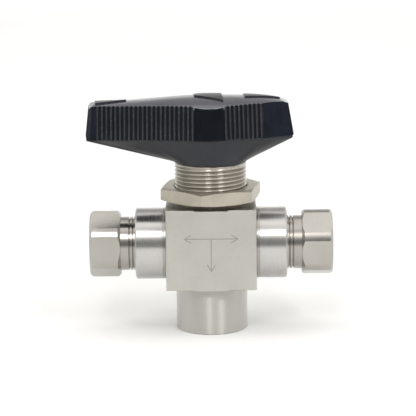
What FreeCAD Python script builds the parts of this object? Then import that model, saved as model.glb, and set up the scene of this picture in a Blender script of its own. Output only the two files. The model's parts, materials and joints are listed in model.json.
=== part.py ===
import FreeCAD, Part
import math
import os

# Three way ball valve with 1/4 in. female pipe ends. Millimetres.
# Origin: centre of the bottom port's mouth. +Z up the stem, +X along the run, -Y the front.

V = FreeCAD.Vector
UP = V(0, 0, 1)
ORIGIN = V(0, 0, 0)

# ---- driving dimensions ----
RUN_Z = 26.9                # height of the run axis above the bottom port's mouth
BLOCK_HALF = 13.9           # half width of the square block
BLOCK_Z0 = 15.0
BLOCK_Z1 = 40.1
BLOCK_EDGE = 0.45           # chamfer on the block's upright edges
SPOT_R = 14.8               # turned rings left on the block's top and bottom by the lathe
SPOT_DEPTH = 0.3
ROUND_R = 11.1125           # 7/8 in. bosses, bottom port and neck thread
BOSS_X = 23.45
BOSS_CHAMFER = 0.45
ROOT_GROOVE_X = 14.9        # fine turned line at each boss root
ROOT_GROOVE_W = 0.3
ROOT_GROOVE_D = 0.15
NECK_Z1 = 53.05
NECK_CHAMFER = 0.3
NECK_RELIEF_R = 10.35       # thread relief at the neck's foot
NECK_RELIEF_H = 1.1
PORT_CHAMFER = 0.3
NECK_RELIEF_SLOPE = 0.6

ORIFICE_R = 2.375           # 4.75 mm flow passage
PIPE_R = 5.65               # bore that stands for the 1/4 in. pipe thread
PIPE_DEPTH = 12.5
PIPE_CHAMFER = 0.35
DRILL_TIP_R = 2.14          # the pipe bore ends in a short cone down to this radius
DRILL_TIP_H = 1.2

CAVITY_R = 6.7              # upright bore round the ball
CAVITY_Z0 = 17.5
CAVITY_Z1 = 35.9
PACKING_BORE_R = 7.6
PACKING_BORE_Z1 = 44.5
NECK_BORE_R = 8.3           # stands for the packing bolt's internal thread
CARRIER_BORE_R = 6.0
SHANK_BORE_X = 12.8
SHANK_BORE_R = 8.45         # stands for the end connector's internal thread

SHANK_R = 8.35
SHANK_X0 = 12.85
SHANK_CHAMFER = 0.4
HEX_X0 = 28.1
HEX_X1 = 37.6
HEX_FLATS = 19.05           # 3/4 in. across flats
HEX_TURNED_R = 10.3         # turned-off hex corners
HEX_CHAMFER = 0.8
LEFT_HEX_TURN = 32.3        # degrees from the run plane to the upper front corner
RIGHT_HEX_TURN = 20.9
SHANK_GROOVES = (24.0, 25.1)
SHANK_GROOVE_W = 0.45
SHANK_GROOVE_D = 0.5
CONNECTOR_SEAL_X0 = 14.6
CONNECTOR_SEAL_X1 = 16.4
CONNECTOR_SEAL_FLOOR_R = 6.95
CONNECTOR_SEAL_R = 7.68
CONNECTOR_SEAL_SECTION_R = 0.7

BALL_R = 6.35               # 12.7 mm ball
BALL_GAP = 0.1
TRUNNION_R = 4.2
TRUNNION_Z0 = 17.6
SHOULDER_R = 4.2
SHOULDER_Z1 = 34.4
STEM_R = 3.175              # 1/4 in. stem
STEM_SQUARE = 4.76
STEM_SQUARE_Z0 = 57.9
STEM_Z1 = 66.0
RUN_FIT = 0.05              # radial clearance round turning parts

SEAT_R = 4.6
SEAT_X0 = 3.0
SEAT_X1 = 7.6
STACK_GAP = 0.05            # gap between parts stacked against each other
CARRIER_X0 = 5.3
CARRIER_X1 = 10.9
CARRIER_R = 5.95
CARRIER_GROOVE_X0 = 8.3
CARRIER_GROOVE_X1 = 10.2
CARRIER_GROOVE_R = 4.85
CARRIER_NOSE_R = 3.4
CARRIER_NOSE_X1 = 12.4
CARRIER_SEAL_R = 5.4
CARRIER_SEAL_SECTION_R = 0.5
CARRIER_SEAL_X = 8.85
BACKUP_X0 = 9.45
BACKUP_FIT = 0.03
SPRING_INNER_R = 3.55
SPRING_OUTER_R = 5.8
SPRING_GAP = 0.1

LOWER_BEARING_Z1 = 20.2
LOWER_BEARING_R = 6.6
THRUST_Z0 = 34.45
THRUST_Z1 = 35.85
SUPPORT_Z0 = 35.95
SUPPORT_Z1 = 37.2
PACKING_R = 7.5
PACKING_Z = (37.25, 38.35, 39.35, 40.5)
PACKING_VEE = 0.8           # rise of the packing's V faces
GLAND_Z1 = 43.2
DISC_RISE = 0.45
DISC_T = 0.5
DISC_BORE_ROOM = 0.35
DISC_RIM_ROOM = 0.15
BOLT_R = 8.2
BOLT_Z0 = 45.35
BOLT_Z1 = 52.6
BOLT_HEX = 12.7
BOLT_HEAD_Z1 = 56.2
BOLT_HEAD_OVERLAP = 0.2
BOLT_BORE_ROOM = 0.3
BOLT_FOOT_CHAMFER = 0.4
BOLT_TOP_CHAMFER = 0.3

NUT_Z0 = 41.35
NUT_Z1 = 45.35
NUT_FLATS = 28.4
NUT_TURN = -10.25
NUT_BORE_R = 11.2
NUT_BORE_CHAMFER = 0.5
NUT_FACE_R = 14.35          # circle left flat on both faces by the corner chamfers
NUT_LOWER_RISE = 0.52       # height the lower chamfer takes off a corner
NUT_UPPER_RISE = 0.42

HANDLE_TURN = 4.5           # the handle rests this far round from the run, long arm to the front
BAND_Z0 = 61.1
BAND_Z1 = 76.0              # the band is cut down to the crown from here
TIP_X = -38.27
TIP_HALF = 5.75
TIP_CORNER = 1.1
RIDGES_LEFT = ((-34.9, 5.95), (-6.2, 11.2))      # centres of the first and last grip ridge
RIDGES_RIGHT = ((4.15, 11.3), (15.15, 9.1))
GROOVES_LEFT = 21
GROOVES_RIGHT = 8
RIDGE_SHARE = 0.42          # ridge width as a share of the ridge spacing
GROOVE_DEPTH = 0.45
PANEL_STEP = 0.2            # smooth panels lie this far under the ridge tops
HUB_ARC_MID = (-1.9, 12.1)
NOSE_CORNER = (25.15, 4.6)
NOSE_MID = (25.85, 0.0)
DRAFT_SIDE = 0.135          # inward draft, mm per mm of height
DRAFT_ALONG = ((TIP_X, 0.107), (-34.9, 0.022), (-6.2, 0.022), (4.15, -0.012), (15.15, -0.012),
               (NOSE_MID[0], -0.17))             # draft along the handle at stations of x
UNDER_INSET = 0.3           # the lip starts this far inside the band's foot
UNDER_KNEE = (-20.4, 8.6)
LIP_TIP = 0.1               # height of the plain lip under the band, at the tip and at the nose
LIP_NOSE = 0.75
HUB_R = 11.35
HUB_Z0 = 53.2
CROWN_R = 26.5              # radius of the crown across the handle
CROWN_HALF = 16.0
CROWN_STATIONS = ((-46, 70.7), (-36, 71.75), (-24, 72.3), (-12, 73.05), (0, 73.35),
                  (10, 73.05), (16, 72.7), (22, 71.85), (30, 69.9))
TIP_ROUND = ((-37.45, 70.1), (-36.65, 71.2), (-34.8, 71.75))   # rounding of the crown's ends
NOSE_ROUND = ((17.5, 72.7), (22.0, 71.72), (24.6, 70.45))
MARK_RISE = 0.45
MARKS = (((-25.7, 0.1), (-35.3, 2.3)), ((-4.9, 1.5), (3.7, 6.3)), ((21.7, 0.1), (10.6, 2.5)))
POCKET_R = 8.3
POCKET_Z1 = 57.6
STOP_R = 9.7
STOP_PIN_R = 0.8
STOP_PIN_FIT = 0.02
STOP_PIN_Z0 = 48.5
STOP_PIN_Z1 = 54.6
STOP_SLOT_R = 10.65
STOP_SLOT_Z1 = 55.2
STOP_CLEARANCE = 0.5        # degrees kept at each end beyond the half turn
HALF_TURN = 180.0
INSERT_R = 6.2
INSERT_Z0 = 57.65
INSERT_Z1 = 67.0
INSERT_WAIST_R = 5.5
INSERT_WAIST = (61.0, 61.4, 62.8, 63.2)   # heights of the waist's two slopes
INSERT_FIT = 0.05
STEM_HOLE_FIT = 0.04
STEM_ROOM = 0.4              # room left round and over the stem inside the handle
SCREW_R = 1.95
SCREW_Z = 63.4
SCREW_Y0 = 2.45
SCREW_Y1 = 8.2
SCREW_SOCKET = 2.0
SCREW_HOLE_R = 2.25
SCREW_SOCKET_DEPTH = 1.8

BIG = 60.0                  # longer than any cut; tools also start 1 mm outside what they open


# ---- helpers ----
def cyl(r, z0, z1):
    return Part.makeCylinder(r, z1 - z0, V(0, 0, z0), UP)


def revolved(points):
    """A turned solid about Z from (radius, height) corners."""
    wire = Part.makePolygon([V(r, 0, z) for r, z in points] + [V(points[0][0], 0, points[0][1])])
    return Part.Face(wire).revolve(ORIGIN, UP, 360)


def along_run(shape, side):
    """Lay a shape built about Z along the run, pointing to the given side."""
    laid = shape.copy()
    laid.rotate(ORIGIN, V(0, 1, 0), 90 * side)
    laid.translate(V(0, 0, RUN_Z))
    return laid


def hexagon(flats, z0, z1, turn):
    corner = flats / math.sqrt(3)
    corners = []
    for step in range(7):
        angle = math.radians(turn + 60 * step)
        corners.append(V(corner * math.cos(angle), corner * math.sin(angle), z0))
    return Part.Face(Part.makePolygon(corners)).extrude(V(0, 0, z1 - z0))


def ring_seal(ring_r, section_r, z):
    return Part.makeTorus(ring_r, section_r, V(0, 0, z), UP)


def tube(r_in, r_out, z0, z1):
    return cyl(r_out, z0, z1).cut(cyl(r_in, z0 - 1, z1 + 1))


def save(name, shape):
    shape.exportStep("parts/" + name + ".step")


# ---- body ----
def make_body():
    block = Part.makeBox(2 * BLOCK_HALF, 2 * BLOCK_HALF, BLOCK_Z1 - BLOCK_Z0,
                         V(-BLOCK_HALF, -BLOCK_HALF, BLOCK_Z0))
    upright = [e for e in block.Edges if abs(e.tangentAt(e.FirstParameter).z) > 0.99]
    block = block.makeChamfer(BLOCK_EDGE, upright)
    column = Part.makeBox(2 * BLOCK_HALF, 2 * BLOCK_HALF, BIG, V(-BLOCK_HALF, -BLOCK_HALF, 0))
    foot_ring = cyl(SPOT_R, BLOCK_Z0 - SPOT_DEPTH, BLOCK_Z0 + 1).common(column)
    block = block.fuse(foot_ring).cut(cyl(SPOT_R, BLOCK_Z1 - SPOT_DEPTH, BLOCK_Z1 + 1))
    boss = revolved([(0, 0), (ROUND_R, 0),
                     (ROUND_R, ROOT_GROOVE_X - ROOT_GROOVE_W),
                     (ROUND_R - ROOT_GROOVE_D, ROOT_GROOVE_X - ROOT_GROOVE_W / 2),
                     (ROUND_R, ROOT_GROOVE_X),
                     (ROUND_R, BOSS_X - BOSS_CHAMFER),
                     (ROUND_R - BOSS_CHAMFER, BOSS_X), (0, BOSS_X)])
    port = revolved([(0, 0), (ROUND_R - PORT_CHAMFER, 0), (ROUND_R, PORT_CHAMFER),
                     (ROUND_R, BLOCK_Z0 + 1), (0, BLOCK_Z0 + 1)])
    neck = revolved([(0, BLOCK_Z1 - 2), (ROUND_R, BLOCK_Z1 - 2), (ROUND_R, BLOCK_Z1 - SPOT_DEPTH),
                     (NECK_RELIEF_R, BLOCK_Z1 - SPOT_DEPTH),
                     (NECK_RELIEF_R, BLOCK_Z1 + NECK_RELIEF_H),
                     (ROUND_R, BLOCK_Z1 + NECK_RELIEF_H + NECK_RELIEF_SLOPE),
                     (ROUND_R, NECK_Z1 - NECK_CHAMFER),
                     (ROUND_R - NECK_CHAMFER, NECK_Z1), (0, NECK_Z1)])
    solid = block.fuse([along_run(boss, 1), along_run(boss, -1), port, neck])
    cuts = [cyl(CAVITY_R, CAVITY_Z0, CAVITY_Z1 + 0.5),
            cyl(PACKING_BORE_R, CAVITY_Z1, PACKING_BORE_Z1 + 0.5),
            cyl(NECK_BORE_R, PACKING_BORE_Z1, NECK_Z1 + 1),
            cyl(ORIFICE_R, PIPE_DEPTH - 1, CAVITY_Z0 + 1),
            pipe_bore().mirror(ORIGIN, UP)]
    for side in (1, -1):
        cuts.append(along_run(cyl(CARRIER_BORE_R, 2, SHANK_BORE_X + 1), side))
        cuts.append(along_run(cyl(SHANK_BORE_R, SHANK_BORE_X, BOSS_X + 1), side))
    cuts.append(Part.makeCylinder(STOP_PIN_R, BIG, V(0, STOP_R, STOP_PIN_Z0), UP))
    return solid.cut(cuts)


def pipe_bore():
    """The bore of a pipe port whose mouth is at height 0 and which runs downward."""
    return revolved([(0, 1), (PIPE_R + PIPE_CHAMFER, 1), (PIPE_R + PIPE_CHAMFER, 0),
                     (PIPE_R, -PIPE_CHAMFER), (PIPE_R, -PIPE_DEPTH),
                     (DRILL_TIP_R, -PIPE_DEPTH - DRILL_TIP_H), (0, -PIPE_DEPTH - DRILL_TIP_H)])


# ---- end connectors ----
def make_connector(side, turn):
    shank = revolved([(ORIFICE_R, SHANK_X0), (SHANK_R - SHANK_CHAMFER, SHANK_X0),
                      (SHANK_R, SHANK_X0 + SHANK_CHAMFER), (SHANK_R, HEX_X0 + 1), (ORIFICE_R, HEX_X0 + 1)])
    head = hexagon(HEX_FLATS, HEX_X0, HEX_X1, turn)
    turned = revolved([(0, HEX_X0), (HEX_TURNED_R - HEX_CHAMFER, HEX_X0),
                       (HEX_TURNED_R, HEX_X0 + HEX_CHAMFER), (HEX_TURNED_R, HEX_X1 - HEX_CHAMFER),
                       (HEX_TURNED_R - HEX_CHAMFER, HEX_X1), (0, HEX_X1)])
    solid = shank.fuse(head.common(turned))
    bore = pipe_bore()
    bore.translate(V(0, 0, HEX_X1))
    seal = tube(CONNECTOR_SEAL_FLOOR_R, SHANK_R + 1, CONNECTOR_SEAL_X0, CONNECTOR_SEAL_X1)
    cuts = [bore, cyl(ORIFICE_R, SHANK_X0 - 1, HEX_X1), seal]
    for x in SHANK_GROOVES:
        cuts.append(tube(SHANK_R - SHANK_GROOVE_D, SHANK_R + 1, x, x + SHANK_GROOVE_W))
    return along_run(solid.cut(cuts), side)


# ---- seats ----
def make_seat(side):
    ring = tube(ORIFICE_R, SEAT_R, SEAT_X0, SEAT_X1)
    relief = Part.makeSphere(BALL_R + BALL_GAP, ORIGIN)
    return along_run(ring.cut(relief), side)


def make_carrier(side):
    groove = CARRIER_GROOVE_R
    pocket = SEAT_R + STACK_GAP
    solid = revolved([(ORIFICE_R, SEAT_X1 + STACK_GAP), (pocket, SEAT_X1 + STACK_GAP),
                      (pocket, CARRIER_X0), (CARRIER_R, CARRIER_X0),
                      (CARRIER_R, CARRIER_GROOVE_X0), (groove, CARRIER_GROOVE_X0),
                      (groove, CARRIER_GROOVE_X1), (CARRIER_R, CARRIER_GROOVE_X1),
                      (CARRIER_R, CARRIER_X1), (CARRIER_NOSE_R, CARRIER_X1),
                      (CARRIER_NOSE_R, CARRIER_NOSE_X1), (ORIFICE_R, CARRIER_NOSE_X1)])
    return along_run(solid, side)


def make_seat_spring(side):
    low = CARRIER_X1 + STACK_GAP
    high = SHANK_X0 - SPRING_GAP - DISC_T
    solid = revolved([(SPRING_INNER_R, high), (SPRING_OUTER_R, low),
                      (SPRING_OUTER_R, low + DISC_T), (SPRING_INNER_R, high + DISC_T)])
    return along_run(solid, side)


# ---- ball, stem and bearings ----
def make_ball_stem():
    ball = Part.makeSphere(BALL_R, V(0, 0, RUN_Z))
    trunnion = cyl(TRUNNION_R, TRUNNION_Z0, RUN_Z)
    shoulder = cyl(SHOULDER_R, RUN_Z, SHOULDER_Z1)
    stem = cyl(STEM_R, SHOULDER_Z1 - 1, STEM_Z1)
    solid = ball.fuse([trunnion, shoulder, stem])
    half = STEM_SQUARE / 2
    for turn in (0, 90, 180, 270):
        flat = Part.makeBox(BIG, BIG, BIG, V(half, -BIG / 2, STEM_SQUARE_Z0))
        flat.rotate(ORIGIN, UP, turn)
        solid = solid.cut(flat)
    up_leg = cyl(ORIFICE_R, TRUNNION_Z0 - 1, RUN_Z)
    side_leg = along_run(cyl(ORIFICE_R, 0, BALL_R + 1), -1)
    knee = Part.makeSphere(ORIFICE_R, V(0, 0, RUN_Z))
    solid = solid.cut([up_leg, side_leg, knee])
    solid.rotate(ORIGIN, UP, HANDLE_TURN)
    return solid


def vee_ring(z0, z1, vee_low, vee_high):
    """A packing ring whose faces may carry a V that rises mid-way across the ring."""
    r_in = STEM_R + RUN_FIT
    mid = (r_in + PACKING_R) / 2
    return revolved([(r_in, z0), (mid, z0 + vee_low), (PACKING_R, z0),
                     (PACKING_R, z1), (mid, z1 + vee_high), (r_in, z1)])


def flat_ring(z0, z1):
    return tube(STEM_R + RUN_FIT, PACKING_R, z0, z1)


def coned_disc(z0, direction):
    """A coned disc spring, thin ring rising inward or outward."""
    r_in = STEM_R + DISC_BORE_ROOM
    r_out = PACKING_R - DISC_RIM_ROOM
    inner = z0 + (DISC_RISE if direction > 0 else 0)
    outer = z0 + (0 if direction > 0 else DISC_RISE)
    return revolved([(r_in, inner), (r_out, outer), (r_out, outer + DISC_T), (r_in, inner + DISC_T)])


def make_packing_bolt():
    bore_r = STEM_R + BOLT_BORE_ROOM
    plug = revolved([(bore_r, BOLT_Z0), (BOLT_R - BOLT_FOOT_CHAMFER, BOLT_Z0),
                     (BOLT_R, BOLT_Z0 + BOLT_FOOT_CHAMFER), (BOLT_R, BOLT_Z1 - BOLT_TOP_CHAMFER),
                     (BOLT_R - BOLT_TOP_CHAMFER, BOLT_Z1), (bore_r, BOLT_Z1)])
    head = hexagon(BOLT_HEX, BOLT_Z1 - BOLT_HEAD_OVERLAP, BOLT_HEAD_Z1, 0)
    return plug.fuse(head).cut(cyl(bore_r, BOLT_Z0 - 1, BOLT_HEAD_Z1 + 1))


# ---- panel nut ----
def make_panel_nut():
    corner = NUT_FLATS / math.sqrt(3)
    nut = hexagon(NUT_FLATS, NUT_Z0, NUT_Z1, NUT_TURN - 90)
    chamfers = revolved([(0, NUT_Z0), (NUT_FACE_R, NUT_Z0), (corner, NUT_Z0 + NUT_LOWER_RISE),
                         (corner, NUT_Z1 - NUT_UPPER_RISE), (NUT_FACE_R, NUT_Z1), (0, NUT_Z1)])
    wide = NUT_BORE_R + NUT_BORE_CHAMFER
    bore = revolved([(0, NUT_Z0 - 1), (wide, NUT_Z0 - 1), (wide, NUT_Z0),
                     (NUT_BORE_R, NUT_Z0 + NUT_BORE_CHAMFER), (NUT_BORE_R, NUT_Z1 - NUT_BORE_CHAMFER),
                     (wide, NUT_Z1), (wide, NUT_Z1 + 1), (0, NUT_Z1 + 1)])
    return nut.common(chamfers).cut(bore)


# ---- handle ----
def along_draft(x):
    """Draft along the handle at a station, in line between the listed ones."""
    for (x0, draft0), (x1, draft1) in zip(DRAFT_ALONG, DRAFT_ALONG[1:]):
        if x <= x1:
            share = max((x - x0) / (x1 - x0), 0.0)
            return draft0 + (draft1 - draft0) * share
    return DRAFT_ALONG[-1][1]


def drafted(point, side, z):
    """A plan point on one side of the handle, moved inward for the draft at height z."""
    height = z - BAND_Z0
    x = point[0] + along_draft(point[0]) * height
    return V(x, side * max(point[1] - DRAFT_SIDE * height, 0.0), z)


def ridged_side(ends, grooves):
    """Plan steps of a ridged panel as (point, arc middle or None), from its first to its last ridge."""
    (x0, y0), (x1, y1) = ends
    length = math.dist(ends[0], ends[1])
    ux = (x1 - x0) / length
    uy = (y1 - y0) / length
    pitch = length / grooves
    half = pitch * RIDGE_SHARE / 2

    def at(distance, out):
        return (x0 + ux * distance - uy * out, y0 + uy * distance + ux * out)

    steps = [(at(-half, -PANEL_STEP), None), (at(-half, 0), None)]
    for index in range(grooves):
        start = index * pitch + half
        end = (index + 1) * pitch - half
        steps.append((at(start, 0), None))
        steps.append((at(end, 0), at((start + end) / 2, -GROOVE_DEPTH)))
    steps.append((at(length + half, 0), None))
    steps.append((at(length + half, -PANEL_STEP), None))
    return steps


def outline(z):
    """The handle's plan at height z with its grip ridges, as one closed wire."""
    half = [((TIP_X, TIP_HALF - TIP_CORNER), None), ((TIP_X + TIP_CORNER, TIP_HALF), None)]
    half += ridged_side(RIDGES_LEFT, GROOVES_LEFT)
    right = ridged_side(RIDGES_RIGHT, GROOVES_RIGHT)
    half.append((right[0][0], HUB_ARC_MID))
    half += right[1:]
    half.append((NOSE_CORNER, None))
    edges = []
    for side in (-1, 1):
        for (a, unused), (b, middle) in zip(half, half[1:]):
            start = drafted(a, side, z)
            end = drafted(b, side, z)
            if middle is None:
                edges.append(Part.makeLine(start, end))
            else:
                edges.append(Part.Arc(start, drafted(middle, side, z), end).toShape())
    nose = Part.Arc(drafted(NOSE_CORNER, -1, z), drafted(NOSE_MID, 1, z), drafted(NOSE_CORNER, 1, z))
    edges.append(nose.toShape())
    edges.append(Part.makeLine(drafted(half[0][0], -1, z), drafted(half[0][0], 1, z)))
    return Part.Wire(Part.__sortEdges__(edges))


def lip_height(x):
    """Height of the plain lip under the band, growing from the tip to the nose."""
    return LIP_TIP + (LIP_NOSE - LIP_TIP) * (x - TIP_X) / (NOSE_MID[0] - TIP_X)


def underside():
    """The underside: a plain lip under the band, tapering down to the hub circle."""
    half = [(TIP_X, TIP_HALF), RIDGES_LEFT[0], UNDER_KNEE, RIDGES_LEFT[1], RIDGES_RIGHT[0],
            RIDGES_RIGHT[1], NOSE_CORNER]
    half = [(x, y - UNDER_INSET) for x, y in half]
    loop = [(x, -y) for x, y in half] + [(x, y) for x, y in reversed(half)]
    hub_panels = (RIDGES_LEFT[1][0] + RIDGES_RIGHT[0][0]) / 2
    hub_edges = []
    lip_edges = []
    foot_edges = []
    for a, b in zip(loop, loop[1:] + loop[:1]):
        turn_a = math.atan2(a[1], a[0])
        turn_b = math.atan2(b[1], b[0])
        if turn_b < turn_a:
            turn_b += 2 * math.pi
        turns = (turn_a, (turn_a + turn_b) / 2, turn_b)
        low = [V(HUB_R * math.cos(t), HUB_R * math.sin(t), HUB_Z0) for t in turns]
        hub_edges.append(Part.Arc(low[0], low[1], low[2]).toShape())
        middle = None
        if a[0] != b[0] and abs((a[0] + b[0]) / 2 - hub_panels) < 0.01:
            middle = (HUB_ARC_MID[0], math.copysign(HUB_ARC_MID[1] - UNDER_INSET, a[1]))
        for edges, drop in ((foot_edges, 0.0), (lip_edges, 1.0)):
            points = [V(x, y, BAND_Z0 - drop * lip_height(x)) for x, y in filter(None, (a, middle, b))]
            if middle is None:
                edges.append(Part.makeLine(points[0], points[1]))
            else:
                edges.append(Part.Arc(points[0], points[1], points[2]).toShape())
    wires = [Part.Wire(Part.__sortEdges__(edges)) for edges in (hub_edges, lip_edges, foot_edges)]
    return Part.makeLoft(wires, True, True)


def crown_solid():
    """Everything below the crowned top, swept along the crest."""
    sections = []
    drop = CROWN_R - math.sqrt(CROWN_R ** 2 - CROWN_HALF ** 2)
    for x, crest in CROWN_STATIONS:
        left = V(x, -CROWN_HALF, crest - drop)
        right = V(x, CROWN_HALF, crest - drop)
        arc = Part.Arc(left, V(x, 0, crest), right).toShape()
        foot = [right, V(x, CROWN_HALF, HUB_Z0), V(x, -CROWN_HALF, HUB_Z0), left]
        edges = [arc] + [Part.makeLine(p, q) for p, q in zip(foot, foot[1:])]
        sections.append(Part.Wire(Part.__sortEdges__(edges)))
    return Part.makeLoft(sections, True, False)


def end_rounds():
    """Side view of the handle with its two rounded upper ends, drawn out across the handle."""
    tip = [V(x, -CROWN_HALF, z) for x, z in TIP_ROUND]
    nose = [V(x, -CROWN_HALF, z) for x, z in NOSE_ROUND]
    tip_arc = Part.Arc(tip[0], tip[1], tip[2]).toShape()
    nose_arc = Part.Arc(nose[0], nose[1], nose[2]).toShape()
    over = [tip[2], V(tip[2].x, -CROWN_HALF, BAND_Z1), V(nose[0].x, -CROWN_HALF, BAND_Z1), nose[0]]
    under = [nose[2], V(BIG, -CROWN_HALF, nose[2].z), V(BIG, -CROWN_HALF, 0), V(-BIG, -CROWN_HALF, 0),
             V(-BIG, -CROWN_HALF, tip[0].z), tip[0]]
    edges = [tip_arc, nose_arc]
    for points in (over, under):
        edges += [Part.makeLine(p, q) for p, q in zip(points, points[1:])]
    return Part.Face(Part.Wire(Part.__sortEdges__(edges))).extrude(V(0, 2 * CROWN_HALF, 0))


def mark_prism(narrow, base):
    """An upright prism over one raised direction mark, from its narrow end to its base."""
    corners = [V(narrow[0], narrow[1], BAND_Z0), V(base[0], base[1], BAND_Z0),
               V(base[0], -base[1], BAND_Z0), V(narrow[0], -narrow[1], BAND_Z0)]
    return Part.Face(Part.makePolygon(corners + corners[:1])).extrude(V(0, 0, BAND_Z1 - BAND_Z0))


def make_handle():
    band = Part.makeLoft([outline(BAND_Z0), outline(BAND_Z1)], True, True)
    limit = crown_solid().common(end_rounds())
    top = band.common(limit)
    raised = limit.copy()
    raised.translate(V(0, 0, MARK_RISE))
    for narrow, base in MARKS:
        top = top.fuse(mark_prism(narrow, base).common(raised).common(band))
    solid = top.fuse([underside(), cyl(HUB_R, HUB_Z0, BAND_Z0)])
    pocket = cyl(POCKET_R, HUB_Z0 - 1, POCKET_Z1)
    reach = math.degrees(2 * math.asin(STOP_PIN_R / (2 * STOP_R)))
    span = HALF_TURN + 2 * (reach + STOP_CLEARANCE)
    slot = Part.makeCylinder(STOP_SLOT_R, STOP_SLOT_Z1 - HUB_Z0 + 1, V(0, 0, HUB_Z0 - 1), UP, span)
    slot.rotate(ORIGIN, UP, 90 - HALF_TURN - reach - STOP_CLEARANCE)
    stem_room = cyl(STEM_R + STEM_ROOM, POCKET_Z1 - 1, STEM_Z1 + STEM_ROOM)
    screw_hole = Part.makeCylinder(SCREW_HOLE_R, BIG, V(0, 0, SCREW_Z), V(0, 1, 0))
    insert_entry = cyl(INSERT_R, POCKET_Z1 - 1, INSERT_Z0 + 1)
    solid = solid.cut([pocket, slot, insert_entry, insert_profile(0.0), stem_room, screw_hole])
    solid.rotate(ORIGIN, UP, HANDLE_TURN)
    return solid


def insert_profile(fit):
    r = INSERT_R - fit
    waist = INSERT_WAIST_R - fit
    return revolved([(0, INSERT_Z0), (r, INSERT_Z0), (r, INSERT_WAIST[0]), (waist, INSERT_WAIST[1]),
                     (waist, INSERT_WAIST[2]), (r, INSERT_WAIST[3]), (r, INSERT_Z1 - fit),
                     (0, INSERT_Z1 - fit)])


def make_insert():
    half = STEM_SQUARE / 2 + STEM_HOLE_FIT
    square = Part.makeBox(2 * half, 2 * half, INSERT_Z1 - STEM_SQUARE_Z0 + 1, V(-half, -half, STEM_SQUARE_Z0))
    stem_hole = cyl(STEM_R + STEM_HOLE_FIT, INSERT_Z0 - 1, INSERT_Z1 + 1)
    entry = cyl(STEM_R + STEM_HOLE_FIT, INSERT_Z0 - 1, STEM_SQUARE_Z0)
    screw_hole = Part.makeCylinder(SCREW_R + RUN_FIT, BIG, V(0, 0, SCREW_Z), V(0, 1, 0))
    solid = insert_profile(INSERT_FIT).cut([square.common(stem_hole), entry, screw_hole])
    solid.rotate(ORIGIN, UP, HANDLE_TURN)
    return solid


def make_set_screw():
    screw = Part.makeCylinder(SCREW_R, SCREW_Y1 - SCREW_Y0, V(0, SCREW_Y0, SCREW_Z), V(0, 1, 0))
    socket = hexagon(SCREW_SOCKET, 0, SCREW_SOCKET_DEPTH + 1, 0)
    socket.rotate(ORIGIN, V(1, 0, 0), -90)
    socket.translate(V(0, SCREW_Y1 - SCREW_SOCKET_DEPTH, SCREW_Z))
    screw = screw.cut(socket)
    screw.rotate(ORIGIN, UP, HANDLE_TURN)
    return screw


# ---- every node ----
os.makedirs("parts", exist_ok=True)
save("body", make_body())
save("end_connector_left", make_connector(-1, LEFT_HEX_TURN - 90))
save("end_connector_right", make_connector(1, 90 - RIGHT_HEX_TURN))
save("panel_nut", make_panel_nut())
save("ball_stem", make_ball_stem())
save("handle", make_handle())
save("handle_insert", make_insert())
save("set_screw", make_set_screw())
pin_foot = V(0, STOP_R, STOP_PIN_Z0)
save("stop_pin", Part.makeCylinder(STOP_PIN_R - STOP_PIN_FIT, STOP_PIN_Z1 - STOP_PIN_Z0, pin_foot, UP))
bearing_z0 = CAVITY_Z0 + STACK_GAP
save("lower_trunnion_bearing", tube(TRUNNION_R + RUN_FIT, LOWER_BEARING_R, bearing_z0, LOWER_BEARING_Z1))
save("upper_thrust_bearing", tube(STEM_R + RUN_FIT, LOWER_BEARING_R, THRUST_Z0, THRUST_Z1))
save("packing_support", flat_ring(SUPPORT_Z0, SUPPORT_Z1))
save("packing_lower", vee_ring(PACKING_Z[0], PACKING_Z[1] - STACK_GAP, 0, PACKING_VEE))
save("packing_chevron", vee_ring(PACKING_Z[1], PACKING_Z[2] - STACK_GAP, PACKING_VEE, PACKING_VEE))
save("packing_upper", vee_ring(PACKING_Z[2], PACKING_Z[3] + PACKING_VEE, PACKING_VEE, 0))
save("packing_gland", flat_ring(PACKING_Z[3] + PACKING_VEE + STACK_GAP, GLAND_Z1))
save("disc_spring_lower", coned_disc(GLAND_Z1 + STACK_GAP, 1))
save("disc_spring_upper", coned_disc(GLAND_Z1 + 2 * STACK_GAP + DISC_RISE + DISC_T, -1))
save("packing_bolt", make_packing_bolt())
for side, label in ((-1, "left"), (1, "right")):
    save("seat_" + label, make_seat(side))
    save("seat_carrier_" + label, make_carrier(side))
    save("seat_spring_" + label, make_seat_spring(side))
    seal = ring_seal(CARRIER_SEAL_R, CARRIER_SEAL_SECTION_R, CARRIER_SEAL_X)
    save("carrier_o_ring_" + label, along_run(seal, side))
    backup = tube(CARRIER_GROOVE_R + BACKUP_FIT, CARRIER_R, BACKUP_X0, CARRIER_GROOVE_X1 - STACK_GAP)
    save("carrier_backup_ring_" + label, along_run(backup, side))
    seal_x = (CONNECTOR_SEAL_X0 + CONNECTOR_SEAL_X1) / 2
    body_seal = ring_seal(CONNECTOR_SEAL_R, CONNECTOR_SEAL_SECTION_R, seal_x)
    save("connector_o_ring_" + label, along_run(body_seal, side))
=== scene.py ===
import json
import math

import bpy
import numpy as np
from mathutils import Matrix, Vector


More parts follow.
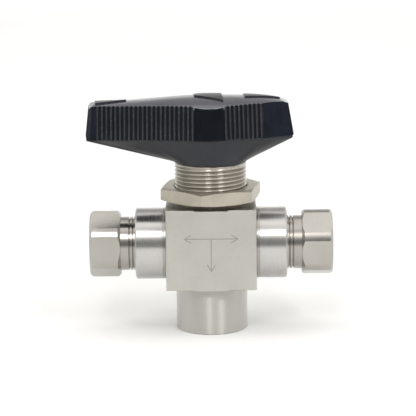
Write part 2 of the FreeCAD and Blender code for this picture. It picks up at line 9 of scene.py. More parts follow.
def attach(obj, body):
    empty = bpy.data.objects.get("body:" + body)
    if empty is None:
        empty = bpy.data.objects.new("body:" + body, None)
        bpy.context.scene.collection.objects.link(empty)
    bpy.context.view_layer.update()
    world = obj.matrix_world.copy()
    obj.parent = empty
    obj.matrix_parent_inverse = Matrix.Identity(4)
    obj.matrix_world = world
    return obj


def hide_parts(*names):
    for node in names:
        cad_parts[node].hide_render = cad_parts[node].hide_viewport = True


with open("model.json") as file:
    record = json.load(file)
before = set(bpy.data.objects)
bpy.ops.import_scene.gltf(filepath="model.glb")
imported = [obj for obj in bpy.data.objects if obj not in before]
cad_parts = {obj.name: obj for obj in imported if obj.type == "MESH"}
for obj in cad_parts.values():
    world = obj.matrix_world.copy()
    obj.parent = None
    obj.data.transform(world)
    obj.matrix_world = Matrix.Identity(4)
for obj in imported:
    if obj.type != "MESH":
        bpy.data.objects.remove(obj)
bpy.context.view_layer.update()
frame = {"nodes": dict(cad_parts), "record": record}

NODES = frame["nodes"]
MM = 0.001

# ---------------------------------------------------------------- sizes in millimetres, in the row frame
RUN_Z = 26.9                # height of the run axis
BLOCK_TOP_Z = 40.2          # the neck starts above this
BLOCK_FOOT_Z = 14.65        # the bottom port lies below this
BLOCK_SIDE_X = 13.95        # the bosses lie outside this
BLOCK_FRONT = (13.7, 13.85)     # etching starts at the first reach forward and is full at the second
SIDE_BORE_R = 9.0           # larger than the connector bores in the block
SIDE_BORE_X = 7.0
BOSS_ROOT_X = (14.9, 13.9)  # painted shade on a boss deepens from the first towards the second

NECK_R = 11.1125
NECK_PITCH = 1.27
NECK_DEPTH = 0.45
NECK_FOOT_Z = 41.5
NECK_TOP_Z = 52.75
NECK_SKIN = 0.02            # how near the neck's radius its plain faces lie
NECK_ROOT_R = (10.68, 11.05)    # painted shade below the first, none above the second

PIPE_R = 5.65
PIPE_PITCH = 1.411
PIPE_DEPTH = 0.62
PIPE_TAPER = 1.0 / 32.0
PIPE_LENGTH = 11.0
PIPE_CLEAR = 0.015          # keeps the thread's roots off the bore
SIDE_MOUTH_X = 37.1
BOTTOM_MOUTH_Z = 0.45

SHANK_R = 8.4               # connector surfaces further out than this are the hex
HEX_X = 28.05
SHANK_GROOVE_R = (7.95, 8.3)
SHANK_GROOVE_X = (26.0, 26.2)

# The handle's own frame is the row frame turned by HANDLE_TURN about Z.
HANDLE_TURN = math.radians(4.5)
BAND_Z = 61.1               # foot of the grip band
HUB_FOOT_Z = 53.2
SOCKET_R = 7.0              # the hub's inside lies within this
HUB_PANEL = (-5.9, 3.85)
SIDE_DRAFT = 0.135
RIDGE_LINES = (((-34.9, 5.95), (-6.2, 11.2)), ((4.15, 11.3), (15.15, 9.1)))
RIDGE_END_ROOM = 0.6
RIDGE_TOP_DEPTH = 0.05      # faces this close to the ridge line are ridge tops
GROOVE_REACH = 0.6
LIP_Z = 70.25
# Each raised mark tapers between two (x, half width) ends.
MARKS = (((-35.3, 2.3), (-25.7, 0.1)), ((-4.9, 1.5), (3.7, 6.3)), ((10.6, 2.5), (21.7, 0.1)))
MARK_ROOM = 0.12
MARK_Z = 68.0
# A generic etched flow diagram on the block's front: straight run, branch and arrow heads, in X and Z.
FLOW_LINE_HALF = 0.16
FLOW_LINES = (((-8.2, 31.2), (8.2, 31.2)), ((0.0, 31.2), (0.0, 21.0)),
              ((-8.2, 31.2), (-6.2, 32.4)), ((-8.2, 31.2), (-6.2, 30.0)),
              ((8.2, 31.2), (6.2, 32.4)), ((8.2, 31.2), (6.2, 30.0)),
              ((0.0, 21.0), (-1.2, 23.0)), ((0.0, 21.0), (1.2, 23.0)))


# ---------------------------------------------------------------- node helpers
class Graph:
    """Small helper round a node tree: add nodes, join sockets, and build common chains."""

    def __init__(self, tree):
        self.tree = tree

    def add(self, kind, **settings):
        node = self.tree.nodes.new(kind)
        for key, value in settings.items():
            setattr(node, key, value)
        return node

    def join(self, source, target):
        self.tree.links.new(source, target)

    def feed(self, socket, value):
        """Set a socket to a number or colour, or link it to another socket."""
        if isinstance(value, (int, float, tuple)):
            socket.default_value = value
        else:
            self.join(value, socket)

    def math(self, operation, a, b=0.0, clamp=False):
        node = self.add("ShaderNodeMath", operation=operation, use_clamp=clamp)
        self.feed(node.inputs[0], a)
        self.feed(node.inputs[1], b)
        return node.outputs[0]

    def smooth(self, value, low, high):
        """0 below low, 1 above high, smooth between."""
        node = self.add("ShaderNodeMapRange", interpolation_type="SMOOTHSTEP")
        self.feed(node.inputs["Value"], value)
        node.inputs["From Min"].default_value = low
        node.inputs["From Max"].default_value = high
        return node.outputs["Result"]

    def remap(self, value, from_low, from_high, to_low, to_high):
        """A value carried linearly from one range to another."""
        node = self.add("ShaderNodeMapRange")
        self.feed(node.inputs["Value"], value)
        node.inputs["From Min"].default_value = from_low
        node.inputs["From Max"].default_value = from_high
        node.inputs["To Min"].default_value = to_low
        node.inputs["To Max"].default_value = to_high
        return node.outputs["Result"]

    def radius(self, a, b):
        """Distance from an axis, from the two coordinates across it."""
        squares = self.math("ADD", self.math("MULTIPLY", a, a), self.math("MULTIPLY", b, b))
        return self.math("SQRT", squares)

    def times(self, *factors):
        """Product of two or more values."""
        total = factors[0]
        for factor in factors[1:]:
            total = self.math("MULTIPLY", total, factor)
        return total

    def place(self):
        """Object coordinates in millimetres, as (vector, x, y, z)."""
        coord = self.add("ShaderNodeTexCoord")
        scale = self.add("ShaderNodeVectorMath", operation="SCALE")
        self.join(coord.outputs["Object"], scale.inputs[0])
        scale.inputs["Scale"].default_value = 1000.0
        split = self.add("ShaderNodeSeparateXYZ")
        self.join(scale.outputs[0], split.inputs[0])
        return (scale.outputs[0], *split.outputs)

    def noise(self, vector, stretch, detail=2.0, roughness=0.5):
        """Noise whose frequency per millimetre differs along X, Y and Z."""
        shape = self.add("ShaderNodeMapping")
        shape.inputs["Scale"].default_value = stretch
        self.join(vector, shape.inputs["Vector"])
        noise = self.add("ShaderNodeTexNoise")
        noise.inputs["Scale"].default_value = 1.0
        noise.inputs["Detail"].default_value = detail
        noise.inputs["Roughness"].default_value = roughness
        self.join(shape.outputs[0], noise.inputs["Vector"])
        return noise.outputs["Fac"]

    def blend(self, fac, a, b):
        """Mix of two colours."""
        node = self.add("ShaderNodeMix", data_type="RGBA")
        self.feed(node.inputs["Factor"], fac)
        self.feed(node.inputs["A"], a)
        self.feed(node.inputs["B"], b)
        return node.outputs["Result"]

    def mix(self, fac, a, b):
        """Mix of two numbers."""
        node = self.add("ShaderNodeMix", data_type="FLOAT")
        self.feed(node.inputs["Factor"], fac)
        self.feed(node.inputs["A"], a)
        self.feed(node.inputs["B"], b)
        return node.outputs["Result"]

    def bump(self, height, distance_mm, normal=None):
        """Normal of a surface raised by height times a distance."""
        node = self.add("ShaderNodeBump")
        node.inputs["Distance"].default_value = distance_mm * MM
        node.inputs["Strength"].default_value = 1.0
        self.join(height, node.inputs["Height"])
        if normal is not None:
            self.join(normal, node.inputs["Normal"])
        return node.outputs["Normal"]

    def rounded(self, radius_mm):
        """Normal of the surface with its sharp edges rounded."""
        node = self.add("ShaderNodeBevel", samples=6)
        node.inputs["Radius"].default_value = radius_mm * MM
        return node.outputs["Normal"]

    def strokes(self, x, z):
        """1 on the thin lines of the etched flow diagram, 0 elsewhere."""
        total = 0.0
        for (x0, z0), (x1, z1) in FLOW_LINES:
            dx, dz = x1 - x0, z1 - z0
            square = dx * dx + dz * dz
            from_x = self.math("SUBTRACT", x, x0)
            from_z = self.math("SUBTRACT", z, z0)
            along = self.math("ADD", self.math("MULTIPLY", from_x, dx / square),
                              self.math("MULTIPLY", from_z, dz / square), clamp=True)
            off_x = self.math("SUBTRACT", from_x, self.math("MULTIPLY", along, dx))
            off_z = self.math("SUBTRACT", from_z, self.math("MULTIPLY", along, dz))
            gap = self.radius(off_x, off_z)
            line = self.math("SUBTRACT", 1.0, self.smooth(gap, FLOW_LINE_HALF * 0.6, FLOW_LINE_HALF * 1.4))
            total = self.math("MAXIMUM", total, line)
        return total

    def edge(self, radius_mm, low=0.02, high=0.35):
        """1 on sharp edges, from how far the rounded normal leaves the true one."""
        bent = self.rounded(radius_mm)
        true = self.add("ShaderNodeNewGeometry").outputs["Normal"]
        dot = self.add("ShaderNodeVectorMath", operation="DOT_PRODUCT")
        self.join(bent, dot.inputs[0])
        self.join(true, dot.inputs[1])
        return self.smooth(self.math("SUBTRACT", 1.0, dot.outputs["Value"]), low, high)


def material(name, roughness=0.4, metallic=0.0, **sockets):
    """A new material, its graph and its shader. Further sockets are named with _ for spaces."""
    made = bpy.data.materials.new(name)
    made.use_nodes = True
    graph = Graph(made.node_tree)
    shader = made.node_tree.nodes["Principled BSDF"]
    shader.inputs["Roughness"].default_value = roughness
    shader.inputs["Metallic"].default_value = metallic
    for key, value in sockets.items():
        shader.inputs[key.replace("_", " ")].default_value = value
    return made, graph, shader


def srgb(text):
    """A colour written as rrggbb, in linear light."""
    parts = [int(text[i:i + 2], 16) / 255 for i in (0, 2, 4)]
    linear = [c / 12.92 if c <= 0.04045 else ((c + 0.055) / 1.055) ** 2.4 for c in parts]
    return (*linear, 1.0)


# ---------------------------------------------------------------- materials
# Painted highlight on the sharp edges of the steel parts.
PAINTED_EDGE_HIGHLIGHT = (0.72, 0.70, 0.67, 1.0)
# Painted shade on the block's sharp edges, where its chamfers look dark.
PAINTED_EDGE_SHADE = (0.22, 0.21, 0.195, 1.0)
ETCHED = (0.16, 0.155, 0.14, 1.0)
# Painted shade where a boss meets the block.
BOSS_ROOT_SHADE = (0.26, 0.235, 0.20, 1.0)
# Painted shade in the neck thread's roots.
THREAD_ROOT_SHADE = (0.26, 0.235, 0.195, 1.0)
# The shank's colour is partly its own duller steel and partly painted shade between hex and boss.
SHANK_DULL_AND_SHADE = (0.40, 0.38, 0.35, 1.0)
# Painted shade in the shank's two grooves.
SHANK_GROOVE_SHADE = (0.13, 0.11, 0.09, 1.0)
SCUFF = srgb("5c5d60")


def etch_front(g, base, x, y, z):
    """The flow diagram etched on the block's front."""
    on_front = g.smooth(g.times(y, -1.0), *BLOCK_FRONT)
    return g.blend(g.times(g.strokes(x, z), on_front, 0.5), base, ETCHED)


def shade_boss_root(g, base, x, y, z):
    """Painted shade on a boss, deepening towards the block."""
    near = g.smooth(g.times(g.math("ABSOLUTE", x), -1.0), -BOSS_ROOT_X[0], -BOSS_ROOT_X[1])
    return g.blend(g.times(near, 0.75), base, BOSS_ROOT_SHADE)


def shade_thread_roots(g, base, x, y, z):
    """Painted shade makes the neck thread's roots darker than its crests."""
    return g.blend(g.smooth(g.radius(x, y), *NECK_ROOT_R), THREAD_ROOT_SHADE, base)


def dull_and_shade_shank(g, base, x, y, z):
    """A connector's shank is duller than its hex, partly its own colour and partly painted shade, and has
    painted shade in its two grooves.
    """
    around = g.radius(y, g.math("SUBTRACT", z, RUN_Z))
    out = g.math("ABSOLUTE", x)
    on_hex = g.math("MAXIMUM", g.smooth(around, SHANK_R, SHANK_R + 0.25), g.smooth(out, HEX_X, HEX_X + 0.1))
    base = g.blend(on_hex, SHANK_DULL_AND_SHADE, base)
    low = g.math("SUBTRACT", 1.0, g.smooth(around, *SHANK_GROOVE_R))
    inner = g.math("SUBTRACT", 1.0, g.smooth(out, *SHANK_GROOVE_X))
    return g.blend(g.times(low, inner, 0.7), base, SHANK_GROOVE_SHADE)


def machined_steel(name, colour, dark, lines, rough, bump=0.010, edge_radius=0.12, turned=None, spread=0.8,
                   painted_edge_colour=PAINTED_EDGE_HIGHLIGHT, edge_share=0.25, finish=None):
    """Metal with fine tool lines. lines is the noise frequency along X, Y and Z. turned names the axis the
    piece was turned about, and spread how far its reflections are drawn out along that axis. Its sharp edges
    are painted with the edge colour: a painted highlight by default, painted shade on the block. finish is
    one of the functions above, for the etching or for painted shade in roots and grooves, which on the
    connector shank comes with its own duller colour."""
    made, g, shader = material(name, metallic=1.0)
    vector, x, y, z = g.place()
    fine = g.noise(vector, lines, detail=3.0, roughness=0.65)
    broad = g.noise(vector, tuple(f * 0.16 for f in lines), detail=2.0)
    cloud = g.noise(vector, (0.12, 0.12, 0.12), detail=3.0)
    specks = g.noise(vector, (3.1, 3.1, 3.1), detail=4.0, roughness=0.7)
    tone = g.math("ADD", g.times(cloud, 0.55), g.times(fine, 0.45))
    base = g.blend(g.smooth(tone, 0.30, 0.72), (*dark, 1.0), (*colour, 1.0))
    stain = (*(c * 0.62 for c in dark), 1.0)
    base = g.blend(g.times(g.smooth(specks, 0.70, 0.82), 0.25), base, stain)
    # Sharp edges get a painted highlight, or painted shade where the edge colour is dark.
    base = g.blend(g.times(g.edge(edge_radius), edge_share), base, painted_edge_colour)
    if finish:
        base = finish(g, base, x, y, z)
    g.join(base, shader.inputs["Base Color"])
    rough_now = g.math("ADD", g.remap(fine, 0.3, 0.7, rough - 0.04, rough + 0.04),
                       g.remap(cloud, 0.3, 0.7, -0.02, 0.03))
    g.join(rough_now, shader.inputs["Roughness"])
    height = g.math("ADD", g.times(fine, 0.65), g.times(broad, 0.6))
    g.join(g.bump(height, bump, g.rounded(edge_radius)), shader.inputs["Normal"])
    if turned:
        shader.inputs["Anisotropic"].default_value = spread
        shader.inputs["Anisotropic Rotation"].default_value = 0.25
        tangent = g.add("ShaderNodeTangent", direction_type="RADIAL", axis=turned)
        g.join(tangent.outputs[0], shader.inputs["Tangent"])
    return made


def nylon(name, low, high, rough, wear_and_highlight_colour="33343a", edge_radius=0.30, gloss=0.5, edge_from=None,
          edge_range=(0.05, 0.55), edge_share=0.6, refraction=1.5, scuffs=0.0):
    """Black glass-filled nylon with a fine mould grain, with a little wear on its edges, from edge_from up
    if that is given, and scuffed where hands rub it. On the hub panels the edge colour is a painted
    highlight instead of wear."""
    made, g, shader = material(name, Specular_IOR_Level=gloss, IOR=refraction)
    vector, x, y, z = g.place()
    grain = g.noise(vector, (7.0, 7.0, 7.0), detail=4.0, roughness=0.6)
    cloud = g.noise(vector, (0.16, 0.16, 0.22), detail=3.0)
    streak = g.noise(vector, (1.6, 1.6, 0.10), detail=2.0)
    tone = g.math("ADD", g.times(cloud, 0.6), g.times(streak, 0.4))
    base = g.blend(g.smooth(tone, 0.35, 0.65), srgb(low), srgb(high))
    # Edge wear, and on the hub panels a painted highlight.
    wear_and_highlight = g.edge(edge_radius, *edge_range)
    if edge_from is not None:
        wear_and_highlight = g.times(wear_and_highlight, g.smooth(z, edge_from, edge_from + 0.5))
    base = g.blend(g.times(wear_and_highlight, edge_share), base, srgb(wear_and_highlight_colour))
    if scuffs:
        rubbed = g.smooth(g.noise(vector, (2.2, 2.2, 1.5), detail=3.0, roughness=0.7), 0.56, 0.70)
        base = g.blend(g.times(rubbed, scuffs), base, SCUFF)
    g.join(base, shader.inputs["Base Color"])
    g.join(g.remap(grain, 0.3, 0.7, rough - 0.04, rough + 0.04), shader.inputs["Roughness"])
    g.join(g.bump(grain, 0.006, g.rounded(edge_radius)), shader.inputs["Normal"])
    return made


def plain_plastic(name, light, dark, rough):
    """A turned plastic or a moulded rubber, faintly uneven in colour and gloss."""
    made, g, shader = material(name, roughness=rough)
    vector = g.place()[0]
    cloud = g.noise(vector, (0.5, 0.5, 0.5), detail=3.0)
    turned = g.noise(vector, (0.4, 0.4, 9.0), detail=2.0)
    g.join(g.blend(g.smooth(cloud, 0.3, 0.7), srgb(dark), srgb(light)), shader.inputs["Base Color"])
    g.join(g.remap(turned, 0.3, 0.7, rough - 0.06, rough + 0.06), shader.inputs["Roughness"])
    g.join(g.bump(turned, 0.01), shader.inputs["Normal"])
    return made


# Each metal has a light and a dark colour, the frequency of its tool lines, its roughness and its bump.
LOOKS = {
    # The block's dark edges are painted shade.
    "block": machined_steel("steel_block_milled", (0.558, 0.543, 0.51), (0.478, 0.465, 0.43),
                            (0.5, 0.5, 9.0), 0.34, 0.016, edge_radius=0.3, painted_edge_colour=PAINTED_EDGE_SHADE,
                            edge_share=0.8, finish=etch_front),
    "turned_x": machined_steel("steel_turned_about_x", (0.57, 0.56, 0.545), (0.53, 0.52, 0.505),
                               (16.0, 0.15, 0.15), 0.30, 0.0015, turned="X", finish=shade_boss_root),
    "turned_z": machined_steel("steel_turned_about_z", (0.62, 0.61, 0.57), (0.56, 0.55, 0.51),
                               (0.15, 0.15, 16.0), 0.42, 0.005, turned="Z", spread=0.95),
    "thread": machined_steel("steel_neck_thread", (0.54, 0.515, 0.46), (0.44, 0.415, 0.365),
                             (0.4, 0.4, 9.0), 0.30, 0.003, edge_radius=0.03, turned="Z", spread=0.95,
                             finish=shade_thread_roots),
    "pipe_thread": machined_steel("steel_pipe_thread", (0.56, 0.53, 0.47), (0.42, 0.39, 0.34),
                                  (0.4, 0.4, 9.0), 0.26, 0.004, edge_radius=0.04),
    "connector": machined_steel("steel_connector", (0.47, 0.452, 0.42), (0.41, 0.393, 0.36),
                                (13.0, 0.2, 0.2), 0.20, 0.003, finish=dull_and_shade_shank),
    "nut": machined_steel("steel_panel_nut", (0.58, 0.545, 0.47), (0.43, 0.40, 0.33),
                          (1.2, 1.2, 9.0), 0.42, 0.012),
    "stem_steel": machined_steel("steel_stem", (0.58, 0.565, 0.53), (0.50, 0.487, 0.45),
                                 (0.2, 0.2, 14.0), 0.22),
    "spring_steel": machined_steel("steel_spring", (0.5, 0.49, 0.47), (0.42, 0.41, 0.4),
                                   (3.0, 3.0, 3.0), 0.3),
    "screw_steel": machined_steel("screw_black_oxide", (0.05, 0.05, 0.055), (0.03, 0.03, 0.035),
                                  (3.0, 9.0, 3.0), 0.38),
    "insert_brass": machined_steel("brass_insert", (0.76, 0.56, 0.26), (0.66, 0.46, 0.2),
                                   (0.3, 0.3, 12.0), 0.25),
    "handle_nylon": nylon("nylon_black", "17182b", "1f2033", 0.16, gloss=1.0, refraction=1.8),
    "panel": nylon("nylon_side_panels", "10151e", "171c26", 0.24, "2a2c31", gloss=0.2),
    # The hub panels' light top edge is a painted highlight, not wear.
    "hub_panel": nylon("nylon_hub_panels", "0a0e15", "0e1219", 0.22, "a3aeb0", 0.6, gloss=0.2,
                       edge_from=LIP_Z, edge_range=(0.01, 0.06), edge_share=1.0),
    "under": nylon("nylon_underside", "23252a", "28292f", 0.40, "323336", gloss=0.4),
    "ends": nylon("nylon_end_faces", "0a0c10", "0f1116", 0.45, "15171b", gloss=0.0),
    "ridge": nylon("nylon_ridge_tops", "242528", "303134", 0.52, "3c3d3c", 0.12, gloss=0.3, scuffs=0.6),
    "groove": nylon("nylon_grooves", "13181f", "181d25", 0.45, "0d0f13", 0.05, gloss=0.15),
    "mark": nylon("nylon_raised_marks", "1c1a1d", "242126", 0.34, "454348", 0.10),
    "seat_plastic": plain_plastic("fluoropolymer_seat", "dcdcd4", "c8c8be", 0.42),
    "bearing_plastic": plain_plastic("bearing_plastic", "b79c72", "a1875e", 0.45),
    "packing_plastic": plain_plastic("fluoropolymer_packing", "ecebe6", "dad9d2", 0.45),
    "elastomer": plain_plastic("rubber_seal", "1c1c1d", "141414", 0.5),
}
BY_SLOT = {"body_steel": "block", "connector_steel": "connector", "nut_steel": "nut"}


def dress_cad_nodes():
    """Give every CAD node the look of its material slot."""
    slots = {row["node"]: row["material_slot"] for row in frame["record"]["subparts"]}
    for name, node in NODES.items():
        look = LOOKS[BY_SLOT.get(slots[name], slots[name])]
        for holder in node.material_slots:
            holder.material = look


# ---------------------------------------------------------------- threads
ROWS_A_PITCH = 20


def ease(share):
    """Smooth rise from 0 to 1."""
    return share * share * (3.0 - 2.0 * share)


def thread_profile(turns):
    """Depth share, 0 at the crest and 1 at the root, for a position counted in pitches."""
    from_root = np.abs(np.mod(turns, 1.0) - 0.5) * 2.0
    return ease(np.clip((0.92 - from_root) / 0.84, 0.0, 1.0))


def helix_sleeve(radius, z0, z1, pitch, depth, phase, inward=False, taper=0.0, around=180, fade=0.8):
    """A threaded surface about Z as vertex and face arrays, in millimetres. inward makes the crests point
    to the axis, taper narrows it towards z0, and fade is how many pitches its ends run out over."""
    rows = int(round((z1 - z0) / pitch * ROWS_A_PITCH))
    heights = np.linspace(z0, z1, rows + 1)
    angles = np.linspace(0.0, 2 * math.pi, around, endpoint=False)
    zz, aa = np.meshgrid(heights, angles, indexing="ij")
    share = thread_profile(zz / pitch - aa / (2 * math.pi) + phase)
    ends = ease(np.clip(np.minimum(zz - z0, z1 - zz) / (fade * pitch), 0.0, 1.0))
    if inward:
        r = radius - depth * (1.0 - share) * ends - taper * (z1 - zz)
    else:
        r = radius - depth * share * ends
    points = np.stack([r * np.cos(aa), r * np.sin(aa), zz], axis=-1).reshape(-1, 3)
    faces = []
    for i in range(rows):
        for j in range(around):
            k = (j + 1) % around
            quad = (i * around + j, i * around + k, (i + 1) * around + k, (i + 1) * around + j)
            faces.append(quad[::-1] if inward else quad)
    return points, faces


def mesh_object(name, points, faces, looks, indices=None, normals=None):
    """An object from metre points and faces, with each face's look by its index and its corner normals."""
    mesh = bpy.data.meshes.new(name)
    mesh.from_pydata([tuple(p) for p in points], [], faces)
    for look in looks:
        mesh.materials.append(look)
    if indices is not None:
        mesh.polygons.foreach_set("material_index", indices)
    mesh.polygons.foreach_set("use_smooth", [True] * len(mesh.polygons))
    mesh.update()
    if normals is not None:
        mesh.normals_split_custom_set(normals)
    made = bpy.data.objects.new(name, mesh)
    bpy.context.scene.collection.objects.link(made)
    return made


def grid_normals(points, faces):
    """Smooth vertex normals of a grid, given back per face corner."""
    face = np.array(faces)
    a, b, c, d = (points[face[:, i]] for i in range(4))
    flat = np.cross(c - a, d - b)
    flat /= np.maximum(np.linalg.norm(flat, axis=1, keepdims=True), 1e-12)
    total = np.zeros_like(points)
    for i in range(4):
        np.add.at(total, face[:, i], flat)
    total /= np.maximum(np.linalg.norm(total, axis=1, keepdims=True), 1e-12)
    return [tuple(total[v]) for quad in faces for v in quad]


# ---------------------------------------------------------------- body
BODY_FINISHES = ("block", "turned_x", "turned_z", "thread")


def body_finish(x, y, z):
    """Which finish a place on the body has."""
    if z > BLOCK_TOP_Z:
        return "thread"
    if z < BLOCK_FOOT_Z:
        return "turned_z"
    in_side_bore = math.hypot(y, z - RUN_Z) < SIDE_BORE_R and abs(x) > SIDE_BORE_X
    if abs(x) > BLOCK_SIDE_X or in_side_bore:
        return "turned_x"
    return "block"


def make_body():
    """The CAD body with its plain neck exchanged for a true thread, and a finish for each zone."""
    source = NODES["body"].data
    points = np.array([v.co for v in source.vertices]) / MM
    corner_normals = [tuple(n.vector) for n in source.corner_normals]
    faces, looks, normals = [], [], []
    for polygon in source.polygons:
        ring = tuple(polygon.vertices)
        x, y, z = points[list(ring)].mean(axis=0)
        on_neck = all(abs(math.hypot(*points[v][:2]) - NECK_R) < NECK_SKIN for v in ring)
        if on_neck and NECK_FOOT_Z < z < NECK_TOP_Z:
            continue
        faces.append(ring)
        looks.append(BODY_FINISHES.index(body_finish(x, y, z)))
        normals.extend(corner_normals[i] for i in polygon.loop_indices)
    thread, thread_faces = helix_sleeve(NECK_R, NECK_FOOT_Z, NECK_TOP_Z, NECK_PITCH, NECK_DEPTH, phase=0.0)
    normals += grid_normals(thread, thread_faces)
    faces += [tuple(v + len(points) for v in quad) for quad in thread_faces]
    looks += [BODY_FINISHES.index("thread")] * len(thread_faces)
    body = mesh_object("valve_body_machined", np.vstack([points, thread]) * MM, faces,
                       [LOOKS[key] for key in BODY_FINISHES], looks, normals)
    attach(body, "valve_body")
    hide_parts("body")


# ---------------------------------------------------------------- handle
HANDLE_FINISHES = ("handle_nylon", "ridge", "groove", "mark", "under", "panel", "hub_panel", "ends")


def ridge_offset(x, y, z):
    """How far a handle point lies outside the ridge tops' line, or None away from the ridges."""
    across = abs(y) + SIDE_DRAFT * (z - BAND_Z)
    for (x0, y0), (x1, y1) in RIDGE_LINES:
        if x0 - RIDGE_END_ROOM < x < x1 + RIDGE_END_ROOM:
            slope = (y1 - y0) / (x1 - x0)
            return (across - y0 - slope * (x - x0)) / math.hypot(1.0, slope)
    return None


def on_mark(x, y):
    """Whether a handle point lies on one of the raised marks, their upright sides included."""
    for (x0, half0), (x1, half1) in MARKS:
        half = half0 + (half1 - half0) * (x - x0) / (x1 - x0)
        if x0 - MARK_ROOM < x < x1 + MARK_ROOM and abs(y) < half + MARK_ROOM:
            return True
    return False


def band_finish(x, y, z, facing_x):
    """Which finish a place on the upright grip band has."""
    offset = ridge_offset(x, y, z)
    if offset is not None and offset > -RIDGE_TOP_DEPTH:
        return "ridge"
    if offset is not None and offset > -GROOVE_REACH:
        return "groove"
    if HUB_PANEL[0] < x < HUB_PANEL[1]:
        return "hub_panel"
    return "ends" if facing_x > 0.8 else "panel"


def handle_finish(x, y, z, normal):
    """Which finish a place on the handle has. The place is in the handle's frame."""
    outside = math.hypot(x, y) > SOCKET_R
    if z > MARK_Z and on_mark(x, y):
        return "mark"
    if HUB_FOOT_Z + 0.02 < z < BAND_Z and outside:
        return "under"
    if z > BAND_Z + 0.1 and abs(normal.z) < 0.45 and outside:
        return band_finish(x, y, z, abs(normal.x))
    return "handle_nylon"


def make_handle():
    """The CAD handle with ridge tops showing wear, dark grooves and raised marks as their own finishes, and
    hub panels whose top edge has a painted highlight.
    """
    source = NODES["handle"].data
    points = np.array([v.co for v in source.vertices]) / MM
    corner_normals = [tuple(n.vector) for n in source.corner_normals]
    c, s = math.cos(HANDLE_TURN), math.sin(HANDLE_TURN)
    local = np.stack([points[:, 0] * c + points[:, 1] * s, points[:, 1] * c - points[:, 0] * s,
                      points[:, 2]], axis=1)
    faces, looks, normals = [], [], []
    for polygon in source.polygons:
        ring = tuple(polygon.vertices)
        x, y, z = local[list(ring)].mean(axis=0)
        faces.append(ring)
        looks.append(HANDLE_FINISHES.index(handle_finish(x, y, z, polygon.normal)))
        normals.extend(corner_normals[i] for i in polygon.loop_indices)
    handle = mesh_object("handle_moulded", points * MM, faces, [LOOKS[key] for key in HANDLE_FINISHES],
                         looks, normals)
    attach(handle, "handle_assembly")
    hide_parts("handle")


# ---------------------------------------------------------------- ports
def make_pipe_threads():
    """Taper thread crests inside the three plain pipe bores."""
    points, faces = helix_sleeve(PIPE_R + PIPE_CLEAR, -PIPE_LENGTH, 0.0, PIPE_PITCH, PIPE_DEPTH, phase=0.3,
                                 inward=True, taper=PIPE_TAPER, around=120, fade=0.6)
    normals = grid_normals(points, faces)
    quarter = math.pi / 2
    ports = (("bottom", Matrix.Rotation(2 * quarter, 4, "X"), (0, 0, BOTTOM_MOUTH_Z), "body_steel"),
             ("left", Matrix.Rotation(-quarter, 4, "Y"), (-SIDE_MOUTH_X, 0, RUN_Z), "connector_steel"),
             ("right", Matrix.Rotation(quarter, 4, "Y"), (SIDE_MOUTH_X, 0, RUN_Z), "connector_steel"))
    for port, turn, mouth, slot in ports:
        sleeve = mesh_object("pipe_thread_" + port, points * MM, faces, [LOOKS["pipe_thread"]],
                             normals=normals)
        sleeve.matrix_world = Matrix.Translation(Vector(mouth) * MM) @ turn
        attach(sleeve, "valve_body")


# ---------------------------------------------------------------- stage
def painted_floor_shade(g, x, y, z):
    """Painted shade on the floor and backdrop: how much of its brightness the paper keeps, less near the
    camera, to the left and high up.
    """
    near = g.mix(g.smooth(y, -450.0, -200.0), 0.62, 1.0)
    far = g.mix(g.smooth(y, -1700.0, -500.0), 0.42, 1.0)
    left = g.mix(g.smooth(x, -320.0, -110.0), 0.74, 1.0)
    high = g.mix(g.smooth(z, 650.0, 1100.0), 1.0, 0.72)
    return g.times(near, far, left, high)


def make_stage():
    """A pale floor that curves up into a backdrop far behind the object, with painted shade over it. The
    foot of the backdrop glows, as painted light.
    """
    width, front, back, bend, height = 3.0, -2.4, 1.2, 0.8, 2.4
    steps = 24
    profile = [(front, 0.0), (back, 0.0)]
    for step in range(1, steps + 1):
        angle = math.pi / 2 * step / steps
        profile.append((back + bend * math.sin(angle), bend * (1 - math.cos(angle))))
    profile.append((back + bend, height))
    points = [(side * width, y, z) for y, z in profile for side in (-1, 1)]
    faces = [(2 * i, 2 * i + 1, 2 * i + 3, 2 * i + 2) for i in range(len(profile) - 1)]
    made, g, shader = material("pale_floor", roughness=0.75)
    vector, x, y, z = g.place()
    cloud = g.noise(vector, (0.01, 0.01, 0.01), detail=2.0)
    paper = g.blend(cloud, (0.87, 0.87, 0.865, 1.0), (0.91, 0.91, 0.905, 1.0))
    # Painted shade darkens the paper near the camera, to the left and high up.
    g.join(g.blend(painted_floor_shade(g, x, y, z), (0.0, 0.0, 0.0, 1.0), paper), shader.inputs["Base Color"])
    # The foot of the backdrop glows with painted light.
    backdrop_glow = g.times(g.smooth(y, 700.0, 1300.0), g.mix(g.smooth(z, 600.0, 950.0), 0.32, 0.0))
    g.join(backdrop_glow, shader.inputs["Emission Strength"])
    shader.inputs["Emission Color"].default_value = (1.0, 0.995, 0.99, 1.0)
    mesh_object("floor", points, faces, [made])


# Radiance of the surround by the angle round the run: 0 level in front, 90 overhead, 180 level behind.
SURROUND_TOP = 2.0          # the ramp holds radiance as a share of this
SURROUND = ((-180, 1.0), (-90, 0.95), (-7, 0.95), (-4, 0.72), (-1, 0.45), (4, 0.26), (18, 0.34), (24, 0.42),
            (28, 0.70), (31, 1.15), (35, 1.5), (45, 1.55), (50, 1.1), (54, 0.78), (61, 0.75), (66, 1.3),
            (78, 1.5), (90, 1.4), (102, 1.5), (112, 1.35), (124, 1.0), (134, 1.05), (180, 1.2))


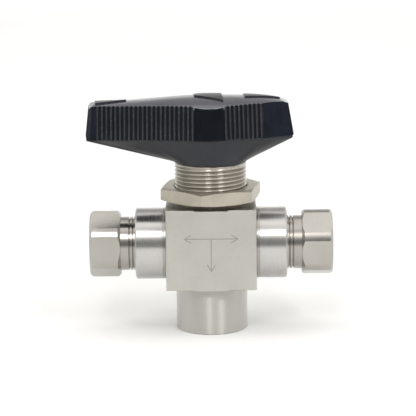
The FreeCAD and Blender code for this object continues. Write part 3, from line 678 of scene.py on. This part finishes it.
def make_world():
    """Soft studio surround in long bands beside the run: dark at eye level in front, bright above it.
    The camera itself sees an even white."""
    world = bpy.data.worlds.new("studio")
    bpy.context.scene.world = world
    world.use_nodes = True
    g = Graph(world.node_tree)
    back = world.node_tree.nodes["Background"]
    coord = g.add("ShaderNodeTexCoord")
    split = g.add("ShaderNodeSeparateXYZ")
    g.join(coord.outputs["Generated"], split.inputs[0])
    x, y, z = split.outputs
    angle = g.times(g.math("ARCTAN2", z, g.times(y, -1.0)), 180 / math.pi)
    ramp = g.add("ShaderNodeValToRGB")
    ramp.color_ramp.interpolation = "LINEAR"
    elements = ramp.color_ramp.elements
    while len(elements) < len(SURROUND):
        elements.new(0.5)
    for element, (degrees, level) in zip(elements, SURROUND):
        element.position = (degrees + 180) / 360
    for element, (degrees, level) in zip(elements, SURROUND):
        share = level / SURROUND_TOP
        element.color = (share, share, share, 1.0)
    g.join(g.remap(angle, -180, 180, 0, 1), ramp.inputs[0])
    seen = g.add("ShaderNodeLightPath").outputs["Is Camera Ray"]
    g.join(g.mix(seen, g.times(ramp.outputs[0], SURROUND_TOP), 1.0), back.inputs["Strength"])
    back.inputs["Color"].default_value = (1.0, 0.99, 0.97, 1.0)


def make_lights():
    """Two softboxes high in front, a little left and well right of the camera, aimed at the object."""
    rise = math.radians(42)
    aim = Vector((0.0, 0.0, 0.03))
    for name, azimuth in (("softbox_left", -9.5), ("softbox_right", 35.5)):
        turn = math.radians(azimuth)
        light = bpy.data.lights.new(name, "AREA")
        light.shape = "RECTANGLE"
        light.size, light.size_y = 0.20, 0.22
        light.energy = 1.5
        holder = bpy.data.objects.new(name, light)
        bpy.context.scene.collection.objects.link(holder)
        away = Vector((math.cos(rise) * math.sin(turn), -math.cos(rise) * math.cos(turn), math.sin(rise)))
        holder.location = aim + away
        holder.rotation_mode = "QUATERNION"
        holder.rotation_quaternion = (-away).to_track_quat("-Z", "Y")


CAMERA_PLACE = (3.29, -651.09, 181.40)      # millimetres
CAMERA_RISE, CAMERA_AZIMUTH, CAMERA_ROLL = (math.radians(a) for a in (12.43, 0.37, -0.668))


def make_camera():
    """A long lens a little above the run axis, looking slightly down."""
    data = bpy.data.cameras.new("camera")
    data.sensor_width = 36.0
    data.lens = 185.54
    data.clip_start, data.clip_end = 0.05, 20.0
    camera = bpy.data.objects.new("camera", data)
    bpy.context.scene.collection.objects.link(camera)
    away = Vector((math.cos(CAMERA_RISE) * math.sin(CAMERA_AZIMUTH),
                   -math.cos(CAMERA_RISE) * math.cos(CAMERA_AZIMUTH), math.sin(CAMERA_RISE)))
    right = Vector((0, 0, 1)).cross(away).normalized()
    up = away.cross(right)
    side = right * math.cos(CAMERA_ROLL) + up * math.sin(CAMERA_ROLL)
    top = up * math.cos(CAMERA_ROLL) - right * math.sin(CAMERA_ROLL)
    turn = Matrix((side, top, away)).transposed().to_4x4()
    camera.matrix_world = Matrix.Translation(Vector(CAMERA_PLACE) * MM) @ turn
    bpy.context.scene.camera = camera


dress_cad_nodes()
make_body()
make_handle()
make_pipe_threads()
make_stage()
make_world()
make_lights()
make_camera()
bpy.context.scene.view_settings.view_transform = "Standard"
bpy.context.scene.view_settings.look = "None"
